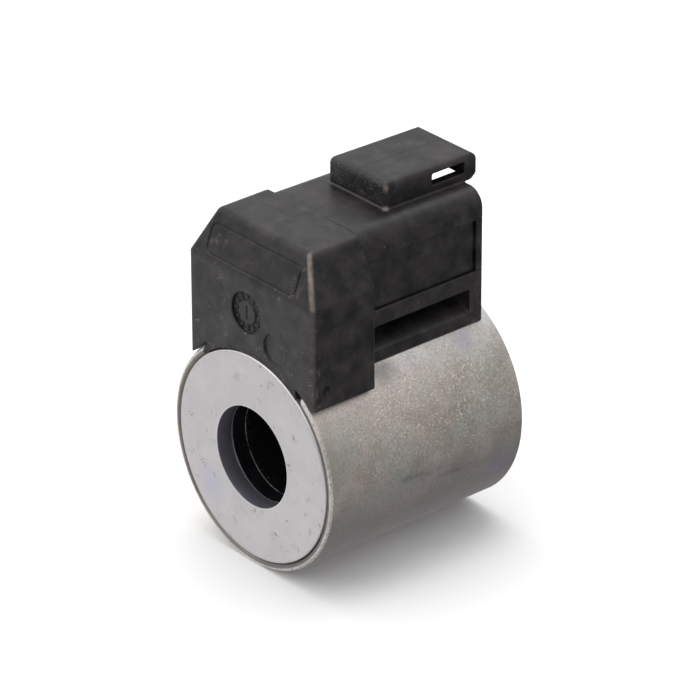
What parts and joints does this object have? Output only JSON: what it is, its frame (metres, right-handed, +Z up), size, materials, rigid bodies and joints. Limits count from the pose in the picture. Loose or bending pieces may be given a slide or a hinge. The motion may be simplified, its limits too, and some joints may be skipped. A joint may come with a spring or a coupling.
{
  "type": "solenoid valve coil",
  "caption": "Round solenoid coil with a steel flux shell, pole washers, a through bore and a black overmoulded connector socket with a latch box on top.",
  "frame": {"origin": "centre of the bore on the front face", "axes": "+Y along the bore to the rear, +Z up to the connector, +X to the right seen from the front"},
  "size_m": [0.036, 0.0385, 0.0586],
  "materials": {
    "shell_steel": "matt, mottled by its passivation, with fine speckle and short scratches",
    "washer_steel": "fine satin with faint scratches",
    "bobbin_nylon": "smooth moulded glass-filled nylon",
    "copper_wire": "enamelled copper",
    "polyester_tape": "smooth amber film",
    "sleeve_glass": "woven glass sleeving",
    "solder": "bright solder",
    "tinned_brass": "tinned, satin",
    "housing_nylon": "moulded black glass-filled nylon, satin, with light scuffs"
  },
  "bodies": {
    "root": {"flux_shell": "shell_steel", "front_pole_washer": "washer_steel", "rear_pole_washer": "washer_steel", "bobbin": "bobbin_nylon", "winding": "copper_wire", "winding_tape": "polyester_tape", "start_lead": "copper_wire", "finish_lead": "copper_wire", "start_lead_sleeve": "sleeve_glass", "finish_lead_sleeve": "sleeve_glass", "left_solder_joint": "solder", "right_solder_joint": "solder", "left_terminal_pin": "tinned_brass", "right_terminal_pin": "tinned_brass", "terminal_carrier": "bobbin_nylon", "overmould_housing": "housing_nylon"}
  },
  "joints": []
}
